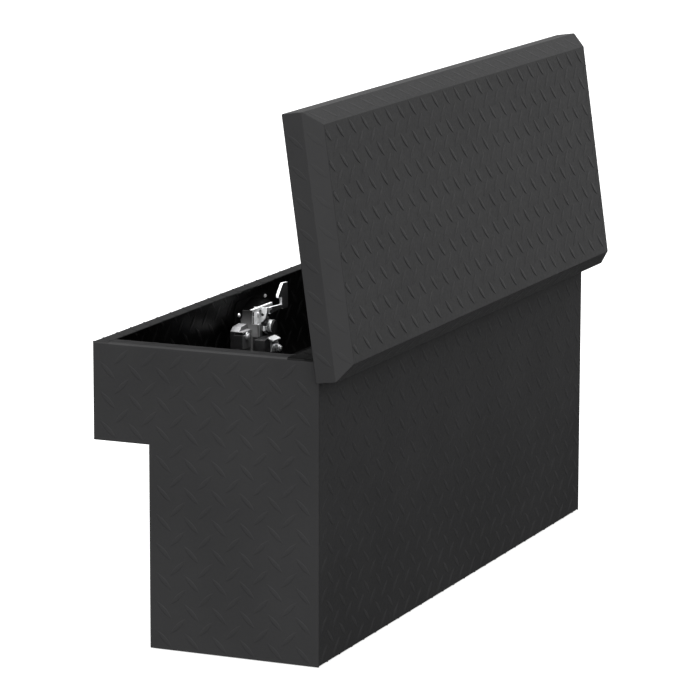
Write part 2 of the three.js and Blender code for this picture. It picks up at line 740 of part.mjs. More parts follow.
function leverBolt() {
  const at = [LEVER_PIVOT.y, LEVER_PIVOT.z];
  return join(
    rod("x", 3.9, inward(50.6), inward(63), at, 16),
    rod("x", 7.3, inward(54), inward(56), at, 20),
    rod("x", 6, inward(56), inward(60.5), at, 6),
  );
}

// The cast case on the frame's base carries the lever's bolt.
function latchCase() {
  const x0 = inward(FRAME_X + FRAME_SHEET + GAP);
  return extrude(roundedRectangle(-46, 16, below(122), below(93.5), 3), "x", x0, inward(50.3), 3);
}

// A stop block beside the frame takes the hook's load on its bolt.
function stopBlock() {
  const side = outline([
    [-127, below(97)],
    [-92, below(97)],
    [-92, below(57)],
    [-117, below(59)],
    [-127, below(66)],
  ]);
  const block = extrude(side, "x", inward(21.5), inward(45.5));
  const groove = box(inward(29), inward(46), -128, -113, below(72), below(69));
  const shelf = box(inward(38), inward(46), -128, -91, below(66), below(50));
  return cut(block, groove, shelf);
}

function blockBolt() {
  const at = [-109, below(75)];
  return join(
    rod("x", 3.5, inward(46), inward(49), at, 16),
    rod("x", 7.4, inward(45.8), inward(47.5), at, 20),
  );
}

add(toolBox, "latch_frame", latchFrame(), ZINC);
add(toolBox, "latch_hook", latchHook(), ZINC);
add(toolBox, "hook_pivot_pin", hookPin(), STEEL);
add(toolBox, "hook_return_spring", hookSpring(), STEEL);
add(toolBox, "pawl", pawl(), ZINC);
add(toolBox, "pawl_pivot_pin", pawlPin, STEEL);
add(toolBox, "release_lever", releaseLever(), CHROME);
add(toolBox, "lever_bolt", leverBolt(), CHROME);
add(toolBox, "latch_case", latchCase(), ZINC);
add(toolBox, "stop_block", stopBlock(), ZINC);
add(toolBox, "block_bolt", blockBolt(), CHROME);

// ---------------------------------------------------------------- gas strut at the far end
function swung(point, angle) {
  return {
    x: point.x * Math.cos(angle) + point.z * Math.sin(angle),
    z: -point.x * Math.sin(angle) + point.z * Math.cos(angle),
  };
}

const studNow = swung(STRUT_STUD_FROM_HINGE, LID_OPEN);
const studShut = {
  x: HINGE.x + STRUT_STUD_FROM_HINGE.x,
  z: HINGE.z + STRUT_STUD_FROM_HINGE.z,
};
const reachOpen = Math.hypot(HINGE.x + studNow.x - STRUT_PIVOT.x, HINGE.z + studNow.z - STRUT_PIVOT.z);
const reachShut = Math.hypot(studShut.x - STRUT_PIVOT.x, studShut.z - STRUT_PIVOT.z);
const TUBE_LENGTH = reachShut - 32;
const SOCKET = { radius: 8, half: 4.5 };

const strut = new THREE.Group();
strut.position.set(STRUT_PIVOT.x, STRUT_Y, STRUT_PIVOT.z);
strut.rotation.y = -Math.atan2(
  HINGE.z + studNow.z - STRUT_PIVOT.z,
  HINGE.x + studNow.x - STRUT_PIVOT.x,
);
toolBox.add(strut);

// Drawn along +x from the body's ball stud.
function strutTube() {
  const socket = rod("y", SOCKET.radius, -SOCKET.half, SOCKET.half, [0, 0], 20);
  const neck = rod("x", 4.5, 5, 20, [0, 0], 16);
  const tube = rod("x", 9, 17, TUBE_LENGTH, [0, 0], 24);
  const studBore = rod("y", 4.15, -10, 10, [0, 0], 16);
  const rodBore = rod("x", 4.1, 24, TUBE_LENGTH + 5, [0, 0], 16);
  return cut(join(socket, neck, tube), studBore, rodBore);
}

function strutRod() {
  const shaft = rod("x", 3.9, reachOpen - TUBE_LENGTH + 30, reachOpen - 5, [0, 0], 16);
  const neck = rod("x", 5, reachOpen - 22, reachOpen - 5, [0, 0], 16);
  const socket = rod("y", SOCKET.radius, -SOCKET.half, SOCKET.half, [reachOpen, 0], 20);
  return join(shaft, neck, socket);
}

add(strut, "strut_tube", strutTube(), SATIN_BLACK);
add(strut, "strut_rod", strutRod(), CHROME);

function bodyBracket() {
  const y0 = HALF - SHEET - GAP - 2;
  const plate = extrude(
    roundedRectangle(STRUT_PIVOT.x - 20, STRUT_PIVOT.x + 20, STRUT_PIVOT.z - 14, STRUT_PIVOT.z + 14, 5),
    "y",
    y0,
    y0 + 2,
    3,
  );
  const at = [STRUT_PIVOT.x, STRUT_PIVOT.z];
  const stud = rod("y", 4, STRUT_Y - 6, y0 + 1, at, 16);
  const shoulder = rod("y", 6.5, STRUT_Y + SOCKET.half + 1, y0 + 1, at, 16);
  return join(plate, stud, shoulder);
}

// The stud stops just short of the rod's socket: the strut's loop is open here.
function lidBracket() {
  const y0 = STRUT_Y - SOCKET.half - 10;
  const at = [studShut.x, studShut.z];
  const foot = box(at[0] - 18, at[0] + 18, y0 - 22, y0, PAN_BOTTOM - GAP - 2, PAN_BOTTOM - GAP);
  const ear = extrude(
    roundedRectangle(at[0] - 9, at[0] + 9, at[1] - 9, PAN_BOTTOM - GAP, 4),
    "y",
    y0 - 2.5,
    y0,
    3,
  );
  const stud = rod("y", 4, y0 - 1, STRUT_Y - SOCKET.half - 0.6, at, 16);
  return join(foot, ear, stud);
}

add(toolBox, "strut_body_bracket", bodyBracket(), ZINC);
addToLid("strut_lid_bracket", lidBracket(), ZINC);

export default toolBox;
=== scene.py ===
"""The looks of the low-side truck tool box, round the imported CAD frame. Metres, +Z up, +Y along the box."""

import json
import math

import bpy
from mathutils import Matrix, Vector


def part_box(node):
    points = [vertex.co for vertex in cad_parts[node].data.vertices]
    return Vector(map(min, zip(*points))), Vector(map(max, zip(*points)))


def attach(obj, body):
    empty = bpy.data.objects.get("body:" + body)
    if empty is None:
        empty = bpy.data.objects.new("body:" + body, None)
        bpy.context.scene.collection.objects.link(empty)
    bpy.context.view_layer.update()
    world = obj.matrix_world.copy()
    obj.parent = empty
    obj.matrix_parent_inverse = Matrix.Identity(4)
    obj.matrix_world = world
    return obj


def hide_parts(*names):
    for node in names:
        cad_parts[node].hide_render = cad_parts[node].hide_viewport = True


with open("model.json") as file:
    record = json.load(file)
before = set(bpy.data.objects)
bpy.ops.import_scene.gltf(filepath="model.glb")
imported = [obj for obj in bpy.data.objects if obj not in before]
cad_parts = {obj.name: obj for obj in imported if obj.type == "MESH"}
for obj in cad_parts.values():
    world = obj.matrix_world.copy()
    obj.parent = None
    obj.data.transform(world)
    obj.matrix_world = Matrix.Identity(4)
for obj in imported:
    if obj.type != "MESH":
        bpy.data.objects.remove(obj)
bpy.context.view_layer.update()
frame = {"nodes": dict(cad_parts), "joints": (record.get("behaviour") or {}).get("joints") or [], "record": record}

# ---------------------------------------------------------------- sizes taken from the CAD
body_lo, body_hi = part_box("body_wrap")
near_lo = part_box("end_panel_near")[0]
far_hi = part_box("end_panel_far")[1]
SHEET = 0.002
LATCH_X = body_lo.x  # outer face of the latch wall
HINGE_X = body_hi.x  # outer face of the hinge wall
LOWER_X = -HINGE_X  # outer face of the narrow part
TOP = body_hi.z
NEAR_Y = near_lo.y
FAR_Y = far_hi.y
LEDGE_Z = 0.3427  # underside of the ledge
RIM = 0.027
HINGE_FLANGE = 0.057

LID = next(j for j in frame["joints"] if j["name"] == "lid_hinge")
LID_PIVOT = Vector(LID["pos_m"])
LID_OPEN = math.radians(LID["range_deg"][1])
LID_TURN = (
    Matrix.Translation(LID_PIVOT)
    @ Matrix.Rotation(LID_OPEN, 4, Vector((0, 1, 0)))
    @ Matrix.Translation(-LID_PIVOT)
)
LID_LENGTH = 1.242
LID_LEFT = -0.2736
LID_RIGHT = 0.1609
LID_INSET = 0.0247
LID_BEVEL = 0.025
LID_SKIRT = 0.035
LID_SKIRT_Z = 0.474
LID_TOP_Z = LID_SKIRT_Z + LID_SKIRT + LID_BEVEL

# ---------------------------------------------------------------- material helpers
def node_material(name):
    made = bpy.data.materials.new(name)
    made.use_nodes = True
    tree = made.node_tree
    shader = tree.nodes["Principled BSDF"]
    return made, tree, shader


def noise(tree, coords, scale, detail=3.0, roughness=0.5):
    made = tree.nodes.new("ShaderNodeTexNoise")
    made.inputs["Scale"].default_value = scale
    made.inputs["Detail"].default_value = detail
    made.inputs["Roughness"].default_value = roughness
    tree.links.new(coords, made.inputs["Vector"])
    return made.outputs["Fac"]


def ramp(tree, factor, stops):
    made = tree.nodes.new("ShaderNodeValToRGB")
    elements = made.color_ramp.elements
    while len(elements) < len(stops):
        elements.new(0.5)
    for element, (at, colour) in zip(elements, stops):
        element.position = at
        element.color = (*colour, 1)
    tree.links.new(factor, made.inputs["Fac"])
    return made.outputs["Color"]


def grey_range(tree, factor, low, high):
    made = tree.nodes.new("ShaderNodeMapRange")
    made.inputs["From Min"].default_value = 0.3
    made.inputs["From Max"].default_value = 0.7
    made.inputs["To Min"].default_value = low
    made.inputs["To Max"].default_value = high
    tree.links.new(factor, made.inputs["Value"])
    return made.outputs["Result"]


def bump(tree, height, strength, distance, before=None):
    made = tree.nodes.new("ShaderNodeBump")
    made.inputs["Strength"].default_value = strength
    made.inputs["Distance"].default_value = distance
    tree.links.new(height, made.inputs["Height"])
    if before is not None:
        tree.links.new(before, made.inputs["Normal"])
    return made.outputs["Normal"]


def calculate(tree, value, operation, limit):
    made = tree.nodes.new("ShaderNodeMath")
    made.operation = operation
    tree.links.new(value, made.inputs[0])
    made.inputs[1].default_value = limit
    return made.outputs[0]


def combine(tree, operation, a, b):
    made = tree.nodes.new("ShaderNodeMath")
    made.operation = operation
    tree.links.new(a, made.inputs[0])
    tree.links.new(b, made.inputs[1])
    return made.outputs[0]


def blend_colours(tree, factor, first, second):
    made = tree.nodes.new("ShaderNodeMix")
    made.data_type = "RGBA"
    tree.links.new(factor, made.inputs["Factor"])
    tree.links.new(first, made.inputs[6])
    tree.links.new(second, made.inputs[7])
    return made.outputs[2]


def mix_ramp(tree, mask, colour, factor, ends, low=0.25, high=0.75):
    """The colour, with a two-tone ramp laid over it where the mask is 1."""
    return blend_colours(tree, mask, colour, ramp(tree, factor, [(low, ends[0]), (high, ends[1])]))


def inside_box(tree, at):
    """1 where painted shade goes: the inner faces of the body's sheets and the hinge-side flange top, in the open
    lid's painted shadow; 0 on the outer faces.
    """
    split = tree.nodes.new("ShaderNodeSeparateXYZ")
    tree.links.new(at, split.inputs[0])
    x, y, z = split.outputs
    skin = SHEET * 0.6
    wide = combine(
        tree,
        "MULTIPLY",
        calculate(tree, x, "GREATER_THAN", LATCH_X + skin),
        calculate(tree, z, "GREATER_THAN", LEDGE_Z + skin),
    )
    narrow = combine(
        tree,
        "MULTIPLY",
        calculate(tree, x, "GREATER_THAN", LOWER_X + skin),
        calculate(tree, z, "GREATER_THAN", skin),
    )
    # the hinge-side flange top gets the painted shadow of the open lid
    flange = calculate(tree, x, "GREATER_THAN", HINGE_X - HINGE_FLANGE + skin)
    for value, operation, limit in (
        (x, "LESS_THAN", HINGE_X - SHEET),
        (z, "GREATER_THAN", TOP - SHEET * 2),
        (z, "LESS_THAN", TOP + skin),
    ):
        flange = combine(tree, "MULTIPLY", flange, calculate(tree, value, operation, limit))
    held = combine(tree, "MAXIMUM", wide, narrow)
    for value, operation, limit in (
        (x, "LESS_THAN", HINGE_X - skin),
        (y, "GREATER_THAN", NEAR_Y + skin),
        (y, "LESS_THAN", FAR_Y - skin),
        (z, "LESS_THAN", TOP - skin),
    ):
        held = combine(tree, "MULTIPLY", held, calculate(tree, value, operation, limit))
    return combine(tree, "MAXIMUM", held, flange)


def on_rim(tree, at):
    """1 on the level faces of the rim flanges."""
    split = tree.nodes.new("ShaderNodeSeparateXYZ")
    tree.links.new(at, split.inputs[0])
    x, _, z = split.outputs
    held = calculate(tree, z, "GREATER_THAN", TOP - SHEET / 2)
    held = combine(tree, "MULTIPLY", held, calculate(tree, z, "LESS_THAN", TOP + SHEET / 2))
    return combine(tree, "MULTIPLY", held, calculate(tree, x, "LESS_THAN", HINGE_X - SHEET * 3))


def near_bevel(tree):
    """1 on the lid's near bevel as it stands open."""
    split = tree.nodes.new("ShaderNodeSeparateXYZ")
    tree.links.new(tree.nodes.new("ShaderNodeTexCoord").outputs["Normal"], split.inputs[0])
    right = calculate(tree, split.outputs["X"], "GREATER_THAN", 0.5)
    return combine(tree, "MULTIPLY", right, calculate(tree, split.outputs["Y"], "LESS_THAN", -0.5))


def coated(name, dark, light, rough, grain, grain_depth, inside=None, bevel=None):
    """Powder coat: a fine pebbled skin with slow changes of tone and gloss.
    inside is the painted shade tone of the box's inner faces and of the hinge-side flange top. It also gives the
    box a rough, matt rim, painted highlights on the rim's bends and painted shade on the hinge wall. bevel is the
    painted light tone of the lid's near bevel."""
    made, tree, shader = node_material(name)
    at = tree.nodes.new("ShaderNodeTexCoord").outputs["Object"]
    tone = noise(tree, at, 9.0, 4.0)
    speck = noise(tree, at, grain, 2.0, 0.6)
    ripple = noise(tree, at, grain / 7, 2.0)
    colour = ramp(tree, tone, [(0.25, dark), (0.75, light)])
    if inside:
        split = tree.nodes.new("ShaderNodeSeparateXYZ")
        tree.links.new(at, split.inputs[0])
        x, _, z = split.outputs
        # painted highlight on the rim's bends, painted shade on the hinge wall and on the inner faces
        hinge_wall_shade = calculate(tree, x, "GREATER_THAN", HINGE_X - SHEET / 4)
        bend = calculate(tree, z, "GREATER_THAN", TOP - SHEET * 1.7)
        bend = combine(tree, "MULTIPLY", bend, calculate(tree, z, "LESS_THAN", TOP - SHEET / 6))
        held = inside_box(tree, at)
        for mask, ends in ((bend, BEND_PAINTED_HIGHLIGHT), (hinge_wall_shade, WALL_PAINTED_SHADE), (held, inside)):
            colour = mix_ramp(tree, mask, colour, tone, ends)
    # painted light: the lid's near bevel is given a lighter tone
    if bevel:
        colour = mix_ramp(tree, near_bevel(tree), colour, tone, bevel)
    tree.links.new(colour, shader.inputs["Base Color"])
    gloss = grey_range(tree, ripple, rough[0], rough[1])
    if inside:
        gloss = combine(tree, "ADD", gloss, calculate(tree, held, "MULTIPLY", -INNER_SMOOTHER))
        gloss = combine(tree, "MAXIMUM", gloss, calculate(tree, on_rim(tree, at), "MULTIPLY", RIM_ROUGH))
    tree.links.new(gloss, shader.inputs["Roughness"])
    first = bump(tree, speck, 0.5, grain_depth)
    tree.links.new(bump(tree, ripple, 0.3, grain_depth * 2, first), shader.inputs["Normal"])
    shader.inputs["Specular IOR Level"].default_value = 0.2
    return made


FRAME_SHADE_FADE = (0.072, 0.036)  # depths below the top between which the painted shade on the front plate goes from light to dark
FRAME_BASE = 0.0312  # the frame's base ends this far in from the latch wall
FRAME_FRONT = -0.0885  # the front plate is nearer than this


def front_of_frame(tree, at, colour):
    """Painted shade: the latch frame's front plate and base are darker than its ear, the plate most of all at the
    top.
    """
    split = tree.nodes.new("ShaderNodeSeparateXYZ")
    tree.links.new(at, split.inputs[0])
    up = tree.nodes.new("ShaderNodeMapRange")
    up.inputs["From Min"].default_value = TOP - FRAME_SHADE_FADE[0]
    up.inputs["From Max"].default_value = TOP - FRAME_SHADE_FADE[1]
    tree.links.new(split.outputs["Z"], up.inputs["Value"])
    # painted shade on the front plate, darkest at the top, and a lighter painted shade on the base
    stops = [(0.0, (0.25, 0.25, 0.25)), (0.45, (0.16, 0.16, 0.16)), (1.0, (0.035, 0.035, 0.035))]
    front_shade = ramp(tree, up.outputs["Result"], stops)
    base = ramp(tree, up.outputs["Result"], [(0.0, (0.10, 0.10, 0.10)), (1.0, (0.16, 0.16, 0.16))])
    on_base = calculate(tree, split.outputs["X"], "LESS_THAN", LATCH_X + FRAME_BASE)
    on_front = calculate(tree, split.outputs["Y"], "LESS_THAN", FRAME_FRONT)
    return blend_colours(tree, on_front, blend_colours(tree, on_base, colour, base), front_shade)


def faces_towards(tree, axis, limit):
    """1 on faces that look along an axis of the piece, either way for X and only backwards for Y."""
    split = tree.nodes.new("ShaderNodeSeparateXYZ")
    tree.links.new(tree.nodes.new("ShaderNodeTexCoord").outputs["Normal"], split.inputs[0])
    if axis == "X":
        return calculate(tree, calculate(tree, split.outputs["X"], "ABSOLUTE", 0.0), "GREATER_THAN", limit)
    return calculate(tree, split.outputs[axis], "LESS_THAN", -limit)


def metal(name, dark, light, rough, scale, stretch=(1, 1, 1), metallic=0.6, faces=None, change=None):
    """Plated or rolled metal: streaks along one direction and small changes of gloss.
    faces is an axis and the tone of the faces that look along it, a painted shade that stands in for the dark
    reflections they catch."""
    made, tree, shader = node_material(name)
    at = tree.nodes.new("ShaderNodeTexCoord").outputs["Object"]
    turn = tree.nodes.new("ShaderNodeMapping")
    turn.inputs["Scale"].default_value = stretch
    tree.links.new(at, turn.inputs["Vector"])
    streak = noise(tree, turn.outputs["Vector"], scale, 3.0)
    cloud = noise(tree, at, 60.0, 3.0)
    colour = ramp(tree, cloud, [(0.3, dark), (0.7, light)])
    if change:
        colour = change(tree, at, colour)
    # painted shade: the faces that look along the axis get the darker tone
    if faces:
        axis, low, high = faces
        colour = mix_ramp(tree, faces_towards(tree, axis, 0.9), colour, cloud, (low, high), 0.3, 0.7)
    tree.links.new(colour, shader.inputs["Base Color"])
    tree.links.new(grey_range(tree, streak, rough[0], rough[1]), shader.inputs["Roughness"])
    tree.links.new(bump(tree, streak, 0.25, 0.00002), shader.inputs["Normal"])
    shader.inputs["Metallic"].default_value = metallic
    return made


PEBBLE = 1400.0  # scale of the powder coat's grain
PEBBLE_DEPTH = 0.00012
BAR_DEPTH = 0.00008
RIM_ROUGH = 0.97
RIM_RANGE = (RIM_ROUGH - 0.03, RIM_ROUGH)
INNER_SMOOTHER = 0.24
# Darkest and lightest tone of each part of the coat. The inside, inside-bar and hinge-wall tones are painted shade
# that falls there with the lid open, the bend tones are painted highlights and the bevel tones painted light; the
# outer tone is the coat's own.
INNER_PAINTED_SHADE = ((0.0012, 0.0012, 0.0012), (0.0022, 0.0022, 0.0022))
INNER_BARS_PAINTED_SHADE = ((0.0120, 0.0120, 0.0121), (0.0180, 0.0180, 0.0181))
OUTER = ((0.034, 0.034, 0.035), (0.040, 0.040, 0.041))
BEND_PAINTED_HIGHLIGHT = ((0.056, 0.056, 0.057), (0.066, 0.066, 0.067))
BEVEL = ((0.042, 0.042, 0.043), (0.049, 0.049, 0.050))
WALL_PAINTED_SHADE = ((0.030, 0.030, 0.031), (0.036, 0.036, 0.037))
# the body's coat carries painted shade inside and on the hinge wall, and painted highlights on the rim's bends
COAT = coated("black_powder_coat", *OUTER, (0.60, 0.72), PEBBLE, PEBBLE_DEPTH, INNER_PAINTED_SHADE)
COAT_OUT = coated("black_powder_coat_bars", *OUTER, (0.54, 0.66), PEBBLE, BAR_DEPTH)
# hinge-wall bars in a darker tone: painted shade
COAT_WALL_PAINTED_SHADE = coated("black_powder_coat_wall_bars_painted_shade", *WALL_PAINTED_SHADE, (0.54, 0.66), PEBBLE, BAR_DEPTH)
# the lid's coats carry painted light on the near bevel
COAT_LID = coated("black_powder_coat_lid", *OUTER, (0.42, 0.52), PEBBLE, PEBBLE_DEPTH, None, BEVEL)
COAT_LID_BARS = coated("black_powder_coat_lid_bars", *OUTER, (0.37, 0.47), PEBBLE, BAR_DEPTH, None, BEVEL)
COAT_RIM = coated("black_powder_coat_rim", *OUTER, RIM_RANGE, PEBBLE, BAR_DEPTH)
# hinge-flange bars in the inside tone: painted shadow of the open lid
COAT_RIM_PAINTED_SHADOW = coated("black_powder_coat_rim_painted_shadow", *INNER_PAINTED_SHADE, RIM_RANGE, PEBBLE, BAR_DEPTH)
# bars inside the box in a darker tone: painted shade
COAT_IN_PAINTED_SHADE = coated("black_powder_coat_inside_painted_shade", *INNER_BARS_PAINTED_SHADE, (0.36, 0.46), PEBBLE, BAR_DEPTH)
SATIN_TONES = ((0.009, 0.009, 0.0092), (0.013, 0.013, 0.0132))
SATIN = coated("satin_black_coat", *SATIN_TONES, (0.46, 0.60), 2200.0, 0.00004)
GLOSS_TONES = ((0.012, 0.012, 0.012), (0.016, 0.016, 0.016))
GLOSS = coated("gloss_black_paint", *GLOSS_TONES, (0.14, 0.24), 700.0, 0.00002)
RUBBER = coated("seal_rubber", (0.008, 0.008, 0.008), (0.013, 0.013, 0.013), (0.7, 0.85), 900.0, 0.0001)
FOAM = coated("cream_foam", (0.62, 0.56, 0.40), (0.70, 0.64, 0.47), (0.85, 0.95), 600.0, 0.0004)
PLATED = ((0.70, 0.71, 0.72), (0.84, 0.85, 0.86), (0.28, 0.44), 260.0, (1, 1, 6), 0.4)
# painted shade for zinc faces that look along X, which reflect the dark inside of the box
X_FACE_PAINTED_SHADE = ((0.055, 0.055, 0.057), (0.080, 0.080, 0.082))
DARK_FACE = ((0.035, 0.035, 0.036), (0.050, 0.050, 0.051))
CAST = ((0.17, 0.17, 0.175), (0.23, 0.23, 0.235), (0.34, 0.50), 120.0, (1, 1, 1), 0.4)
ZINC = metal("zinc_plate", *PLATED, ("X", *X_FACE_PAINTED_SHADE))
FRAME_ZINC_SHADED = metal("zinc_plate_frame_painted_shade", *PLATED, None, front_of_frame)
# painted shade on the stop block's front (-Y) faces; the latch case takes this same dark tone all over
BLOCK_ZINC = metal("zinc_plate_block", *CAST, ("Y", *DARK_FACE))
CASE_ZINC = metal("zinc_plate_case", *DARK_FACE, (0.34, 0.50), 120.0, (1, 1, 1), 0.4)
# bright plated rivet heads whose near-white tone is partly their own and partly a painted glint
RIVET_WITH_PAINTED_GLINT = metal("bright_rivet_with_painted_glint", (0.90, 0.90, 0.91), (0.96, 0.96, 0.97), (0.22, 0.34), 300.0, (1, 1, 1), 0.15)
CHROME = metal("bright_plate", (0.80, 0.81, 0.82), (0.90, 0.91, 0.92), (0.16, 0.28), 300.0)
STEEL = metal("plain_steel", (0.09, 0.09, 0.095), (0.15, 0.15, 0.155), (0.32, 0.50), 240.0, (1, 8, 1), 0.8)
BY_SLOT = {
    "matte_black_coat": COAT,
    "satin_black_coat": SATIN,
    "gas_strut_black": GLOSS,
    "seal_rubber": RUBBER,
    "foam": FOAM,
    "zinc_plate": ZINC,
    "bright_plate": CHROME,
    "plain_steel": STEEL,
}

# ---------------------------------------------------------------- CAD nodes: finishes and eased edges
def easing_nodes():
    """Joins the faceted faces, shades them smooth and keeps edges over 30 degrees sharp."""
    tree = bpy.data.node_groups.new("joined_and_smooth", "GeometryNodeTree")
    tree.interface.new_socket("Geometry", in_out="INPUT", socket_type="NodeSocketGeometry")
    tree.interface.new_socket("Geometry", in_out="OUTPUT", socket_type="NodeSocketGeometry")
    start = tree.nodes.new("NodeGroupInput")
    merge = tree.nodes.new("GeometryNodeMergeByDistance")
    merge.inputs["Distance"].default_value = 0.00001
    faces = tree.nodes.new("GeometryNodeSetShadeSmooth")
    faces.domain = "FACE"
    edges = tree.nodes.new("GeometryNodeSetShadeSmooth")
    edges.domain = "EDGE"
    edges.inputs["Shade Smooth"].default_value = False
    angle = tree.nodes.new("GeometryNodeInputMeshEdgeAngle")
    compare = tree.nodes.new("FunctionNodeCompare")
    compare.data_type = "FLOAT"
    compare.operation = "GREATER_THAN"
    compare.inputs[1].default_value = math.radians(30)
    end = tree.nodes.new("NodeGroupOutput")
    link = tree.links.new
    link(start.outputs[0], merge.inputs["Geometry"])
    link(merge.outputs["Geometry"], faces.inputs["Geometry"])
    link(faces.outputs["Geometry"], edges.inputs["Geometry"])
    link(angle.outputs["Unsigned Angle"], compare.inputs[0])
    link(compare.outputs["Result"], edges.inputs["Selection"])
    link(edges.outputs["Geometry"], end.inputs[0])
    return tree


EASING = easing_nodes()
EASED = {
    "lid_outer_shell": 0.0012,
    "lid_inner_pan": 0.0008,
    "lid_seal": 0.0015,
    "handle_dish": 0.0006,
    "latch_frame": 0.0003,
    "latch_hook": 0.0004,
    "latch_case": 0.0008,
    "stop_block": 0.0008,
    "release_lever": 0.0003,
    "t_handle": 0.0012,
    "spindle": 0.0005,
    "spindle_housing": 0.0005,
    "striker_plate": 0.0003,
    "strut_tube": 0.0006,
    "end_panel_near": 0.0004,
    "end_panel_far": 0.0004,
}


def ease(piece, width):
    joined = piece.modifiers.new("joined_and_smooth", "NODES")
    joined.node_group = EASING
    if width:
        edge = piece.modifiers.new("eased_edges", "BEVEL")
        edge.width = width
        edge.segments = 2
        edge.limit_method = "ANGLE"
        edge.angle_limit = math.radians(35)
        edge.harden_normals = True


OWN_FINISH = {"latch_frame": FRAME_ZINC_SHADED, "latch_case": CASE_ZINC, "stop_block": BLOCK_ZINC, "pawl": CASE_ZINC}
OWN_FINISH["lid_outer_shell"] = COAT_LID
OWN_FINISH["lever_bolt"] = OWN_FINISH["spindle_housing"] = ZINC
OWN_FINISH.update({"dish_rivet_" + str(i): RIVET_WITH_PAINTED_GLINT for i in range(1, 5)})

slot_of = {s["node"]: s["material_slot"] for s in frame["record"]["subparts"]}
for name, piece in frame["nodes"].items():
    piece.data.materials.clear()
    piece.data.materials.append(OWN_FINISH.get(name, BY_SLOT[slot_of[name]]))
    ease(piece, EASED.get(name, 0))

# ---------------------------------------------------------------- new pieces
def new_piece(name, verts, faces, material, body, smooth=None):
    mesh = bpy.data.meshes.new(name)
    mesh.from_pydata([tuple(v) for v in verts], [], faces)
    mesh.materials.append(material)
    if smooth is not None:
        mesh.polygons.foreach_set("use_smooth", smooth)
    mesh.update()
    made = bpy.data.objects.new(name, mesh)
    bpy.context.scene.collection.objects.link(made)
    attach(made, body)
    return made


# ---------------------------------------------------------------- raised bars of the tread plate
PITCH_ALONG = 0.0500
PITCH_UP = 0.0492
BAR_HALF = 0.0195
BAR_HALF_WIDTH = 0.0046
BAR_HEIGHT = 0.0006
LID_BAR_HEIGHT = 0.0008
LOW_BAR_HEIGHT = 0.0004
FAINT_BAR_HEIGHT = 0.0002
RIM_BAR_HEIGHT = 0.0012
BAR_SINK = 0.0002
LEAST_SPAN = 1.2
STATIONS = 11
SECTION = ((-1.0, 0.0), (-0.80, 0.70), (-0.52, 0.96), (0.0, 1.0), (0.52, 0.96), (0.80, 0.70), (1.0, 0.0))


def bar_profile(t):
    """Half width, and height as a share, of a bar at t, from -1 at one tip to 1 at the other."""
    fullness = max(0.0, 1 - t * t)
    return BAR_HALF_WIDTH * fullness + 0.0001, fullness ** 0.5


def inside_span(centre, direction, low, high):
    """The part of a bar's length, in -1..1, whose centre line stays between two limits."""
    if abs(direction) < 1e-9:
        return (-1, 1) if low <= centre <= high else (1, -1)
    ends = sorted(((low - centre) / direction, (high - centre) / direction))
    return max(-1.0, ends[0]), min(1.0, ends[1])


def pitches(low, high, start, pitch):
    """The whole numbers of pitches from start that cover low to high."""
    return range(math.floor((low - start) / pitch), math.ceil((high - start) / pitch) + 1)


class Treads:
    """Bars gathered into one mesh."""

    def __init__(self, height=BAR_HEIGHT):
        self.verts, self.faces, self.smooth = [], [], []
        self.height = height

    def bar(self, place, centre, angle, span):
        u, v = centre
        du, dv = math.cos(angle), math.sin(angle)
        first = len(self.verts)
        for k in range(STATIONS):
            t = span[0] + (span[1] - span[0]) * (0.5 - 0.5 * math.cos(math.pi * k / (STATIONS - 1)))
            width, height = bar_profile(t)
            for across, up in SECTION:
                a = u + t * BAR_HALF * du - across * width * dv
                b = v + t * BAR_HALF * dv + across * width * du
                self.verts.append(place(a, b, up * height * self.height - (BAR_SINK if up == 0 else 0)))
        n = len(SECTION)
        for k in range(STATIONS - 1):
            for i in range(n - 1):
                a = first + k * n + i
                self.faces.append((a, a + 1, a + n + 1, a + n))
                self.smooth.append(True)
        last = first + (STATIONS - 1) * n
        self.faces.append(tuple(first + i for i in reversed(range(n))))
        self.faces.append(tuple(last + i for i in range(n)))
        self.smooth += [False, False]

    def panel(self, place, regions, phase, holes=(), flip=False):
        """Fills rectangles (u0, u1, v0, v1) of a panel. phase is the centre of one rising bar."""
        for u0, u1, v0, v1 in regions:
            for shift, angle in ((0.0, math.pi / 4), (0.5, -math.pi / 4)):
                angle = -angle if flip else angle
                du, dv = math.cos(angle) * BAR_HALF, math.sin(angle) * BAR_HALF
                pu, pv = phase[0] + shift * PITCH_ALONG, phase[1] + shift * PITCH_UP
                for i in pitches(u0, u1, pu, PITCH_ALONG):
                    for j in pitches(v0, v1, pv, PITCH_UP):
                        u, v = pu + i * PITCH_ALONG, pv + j * PITCH_UP
                        if any(a < u < b and c < v < d for a, b, c, d in holes):
                            continue
                        su = inside_span(u, du, u0, u1)
                        sv = inside_span(v, dv, v0, v1)
                        span = (max(su[0], sv[0]), min(su[1], sv[1]))
                        if span[1] - span[0] > LEAST_SPAN:
                            self.bar(place, (u, v), angle, span)

    def piece(self, name, body, material=None):
        finish = material or COAT_OUT
        return new_piece(name, self.verts, self.faces, finish, body, self.smooth)


def plane(origin, u_axis, v_axis, normal, turn=None):
    """A function from (u, v, height) on a panel to a point."""
    o, a, b, n = (Vector(x) for x in (origin, u_axis, v_axis, normal))

    def place(u, v, h):
        p = o + a * u + b * v + n * h
        return tuple(turn @ p) if turn else tuple(p)

    return place


X, Y, Z = (1, 0, 0), (0, 1, 0), (0, 0, 1)
BACK_X, BACK_Y, DOWN = (-1, 0, 0), (0, -1, 0), (0, 0, -1)
EDGE = 0.0035  # bars stop this far from a bend
Y0, Y1 = NEAR_Y + EDGE, FAR_Y - EDGE
PHASE_Y = 0.012
PHASE_Z = 0.460
PHASE_X = -0.2275


